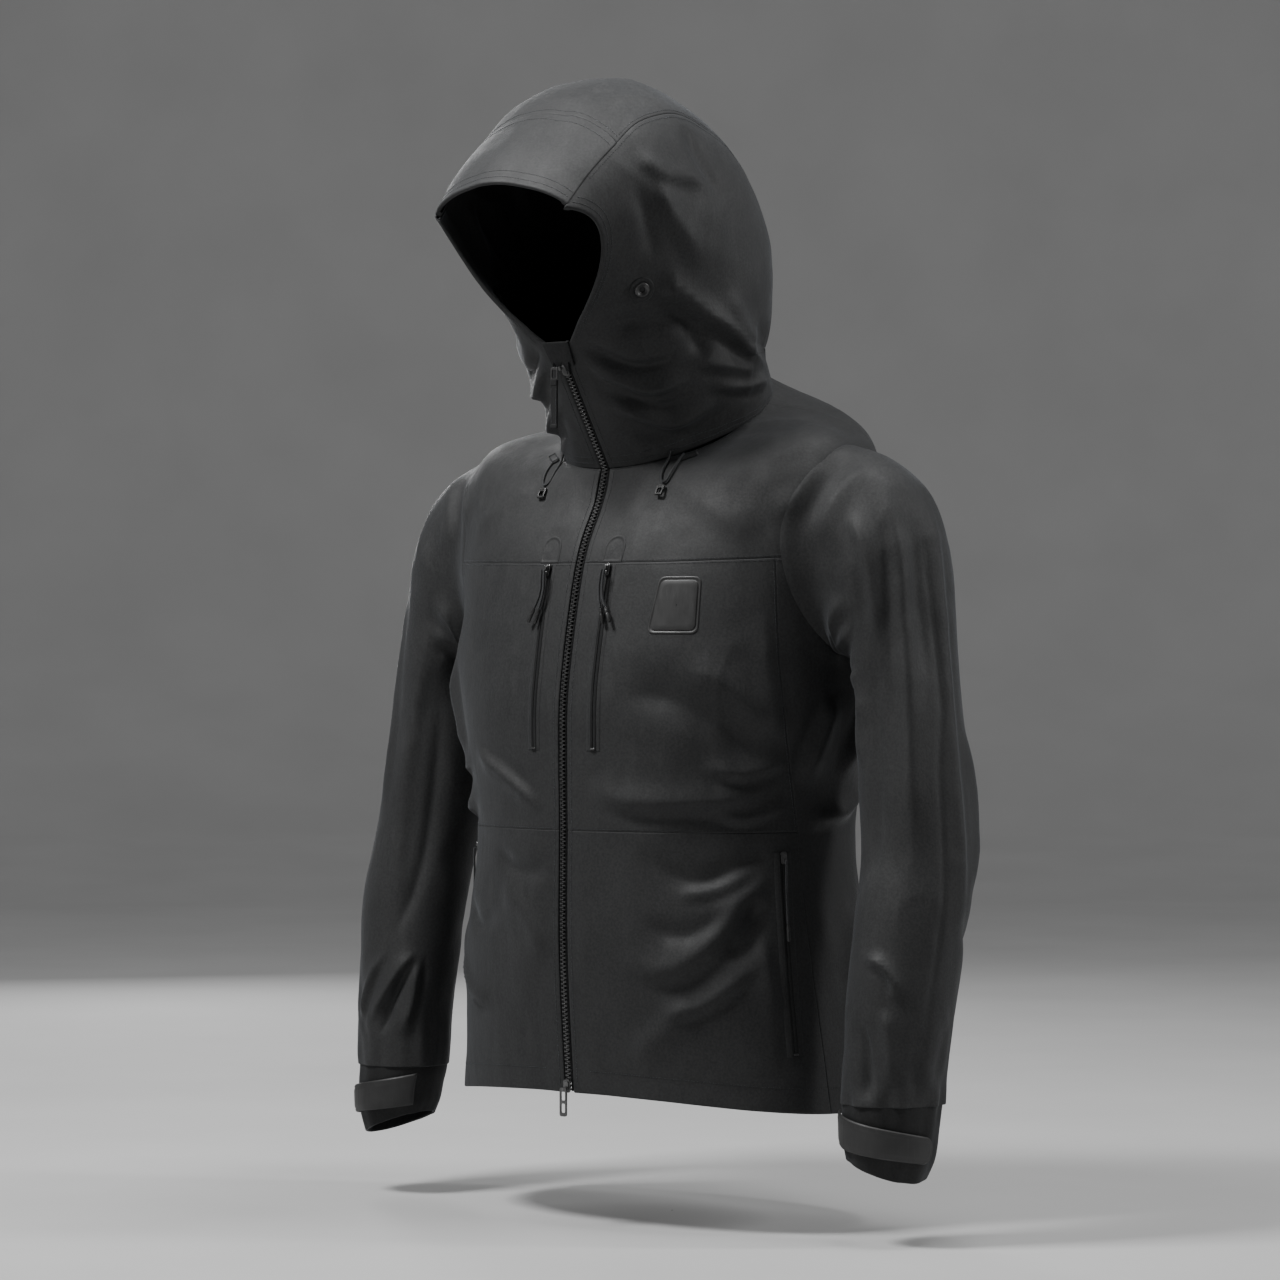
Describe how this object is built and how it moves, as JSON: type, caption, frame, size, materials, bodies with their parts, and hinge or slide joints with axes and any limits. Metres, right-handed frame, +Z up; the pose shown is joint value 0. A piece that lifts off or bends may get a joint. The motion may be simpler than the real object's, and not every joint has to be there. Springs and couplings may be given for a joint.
{
  "type": "hardshell jacket",
  "caption": "Hooded waterproof mountain jacket with a full two-way front zip, chest and hand pockets, and tabbed cuffs; sleeves, hood, tabs and zip sliders move.",
  "frame": {"origin": "middle of the bounding box at the level of the cuffs' lower edges", "axes": "+Z up the jacket, -Y out of the front, +X to the wearer's left"},
  "size_m": [0.752, 0.4076, 1.0594],
  "materials": {
    "shell_fabric": "matt charcoal three-layer face fabric",
    "brim_fabric": "stiffened hood brim in the face fabric",
    "cuff_fabric": "cuff in the face fabric",
    "tab_rubber": "moulded hook-and-loop tab",
    "trim_tape": "woven tape",
    "zip_teeth": "moulded teeth on a woven tape",
    "pocket_zip": "water-resistant coil zip",
    "zip_metal": "dark coated metal",
    "eyelet_metal": "dark ring in a bonded disc",
    "cord": "braided cord",
    "cord_tip": "moulded cord end",
    "badge_rubber": "blank moulded patch"
  },
  "bodies": {
    "root": {"yoke_left": "shell_fabric", "yoke_right": "shell_fabric", "chest_panel_left": "shell_fabric", "chest_panel_right": "shell_fabric", "lower_front_left": "shell_fabric", "lower_front_right": "shell_fabric", "side_panel_left": "shell_fabric", "side_panel_right": "shell_fabric", "back_panel": "shell_fabric", "hem_band": "trim_tape", "collar": "shell_fabric", "chin_guard": "trim_tape", "badge": "badge_rubber", "hang_loop": "trim_tape", "main_zip_left": "zip_teeth", "main_zip_right": "zip_teeth", "chest_zip_left": "pocket_zip", "chest_zip_right": "pocket_zip", "hand_zip_left": "pocket_zip", "hand_zip_right": "pocket_zip", "hood_loop_left": "cord", "hood_loop_right": "cord", "hood_loop_end_left": "cord_tip", "hood_loop_end_right": "cord_tip"},
    "hood": {"hood_centre": "shell_fabric", "hood_brim": "brim_fabric", "hood_rear_adjuster": "trim_tape", "hood_side_left": "shell_fabric", "hood_side_right": "shell_fabric", "hood_eyelet_left": "eyelet_metal", "hood_eyelet_right": "eyelet_metal"},
    "main_slider": {"main_slider": "zip_metal"},
    "main_pull": {"main_pull": "trim_tape"},
    "bottom_slider": {"bottom_slider": "zip_metal"},
    "bottom_pull": {"bottom_pull": "zip_metal"},
    "sleeve_left": {"upper_sleeve_left": "shell_fabric"},
    "forearm_left": {"lower_sleeve_left": "shell_fabric", "cuff_left": "cuff_fabric"},
    "cuff_tab_left": {"cuff_tab_left": "tab_rubber"},
    "chest_slider_left": {"chest_slider_left": "zip_metal", "chest_inner_cord_left": "cord", "chest_inner_tip_left": "cord_tip", "chest_outer_cord_left": "cord", "chest_outer_tip_left": "cord_tip"},
    "hand_slider_left": {"hand_slider_left": "zip_metal", "hand_cord_left": "cord", "hand_tip_left": "cord_tip"},
    "sleeve_right": {"upper_sleeve_right": "shell_fabric"},
    "forearm_right": {"lower_sleeve_right": "shell_fabric", "cuff_right": "cuff_fabric"},
    "cuff_tab_right": {"cuff_tab_right": "tab_rubber"},
    "chest_slider_right": {"chest_slider_right": "zip_metal", "chest_inner_cord_right": "cord", "chest_inner_tip_right": "cord_tip", "chest_outer_cord_right": "cord", "chest_outer_tip_right": "cord_tip"},
    "hand_slider_right": {"hand_slider_right": "zip_metal", "hand_cord_right": "cord", "hand_tip_right": "cord_tip"}
  },
  "joints": [
    {"name": "hood_fold", "type": "hinge", "parent": "root", "child": "hood", "pos_m": [0, 0.1398, 0.802], "axis": [-1, 0, 0], "range_deg": [0, 30]},
    {"name": "main_zip_slide", "type": "slide", "parent": "root", "child": "main_slider", "axis": [0, 0.5234, -0.8521], "range_m": [0, 0.08]},
    {"name": "main_pull_swing", "type": "hinge", "parent": "main_slider", "child": "main_pull", "pos_m": [-0.007, -0.1031, 0.7735], "axis": [-1, 0, 0], "range_deg": [-12, 120]},
    {"name": "bottom_zip_slide", "type": "slide", "parent": "root", "child": "bottom_slider", "axis": [0, -0.069, 0.9976], "range_m": [0, 0.1]},
    {"name": "bottom_pull_swing", "type": "hinge", "parent": "bottom_slider", "child": "bottom_pull", "pos_m": [0, -0.0978, 0.0735], "axis": [-1, 0, 0], "range_deg": [0, 110]},
    {"name": "shoulder_swing_left", "type": "hinge", "parent": "root", "child": "sleeve_left", "pos_m": [0.229, 0.0678, 0.6], "axis": [-1, 0, 0], "range_deg": [-15, 40]},
    {"name": "elbow_bend_left", "type": "hinge", "parent": "sleeve_left", "child": "forearm_left", "pos_m": [0.3165, -0.0012, 0.318], "axis": [-1, 0, 0], "range_deg": [0, 45]},
    {"name": "cuff_tab_open_left", "type": "hinge", "parent": "forearm_left", "child": "cuff_tab_left", "pos_m": [0.2742, -0.0138, 0.05], "axis": [0, 0, -1], "range_deg": [0, 60]},
    {"name": "chest_zip_slide_left", "type": "slide", "parent": "root", "child": "chest_slider_left", "axis": [0, -0.1942, -0.981], "range_m": [0, 0.085]},
    {"name": "hand_zip_slide_left", "type": "slide", "parent": "root", "child": "hand_slider_left", "axis": [0.086, -0.031, -0.9958], "range_m": [0, 0.085]},
    {"name": "shoulder_swing_right", "type": "hinge", "parent": "root", "child": "sleeve_right", "pos_m": [-0.229, 0.0678, 0.6], "axis": [-1, 0, 0], "range_deg": [-15, 40]},
    {"name": "elbow_bend_right", "type": "hinge", "parent": "sleeve_right", "child": "forearm_right", "pos_m": [-0.3165, -0.0012, 0.318], "axis": [-1, 0, 0], "range_deg": [0, 45]},
    {"name": "cuff_tab_open_right", "type": "hinge", "parent": "forearm_right", "child": "cuff_tab_right", "pos_m": [-0.2742, -0.0138, 0.05], "axis": [0, 0, 1], "range_deg": [0, 60]},
    {"name": "chest_zip_slide_right", "type": "slide", "parent": "root", "child": "chest_slider_right", "axis": [0, -0.1942, -0.981], "range_m": [0, 0.085]},
    {"name": "hand_zip_slide_right", "type": "slide", "parent": "root", "child": "hand_slider_right", "axis": [-0.086, -0.031, -0.9958], "range_m": [0, 0.085]}
  ]
}
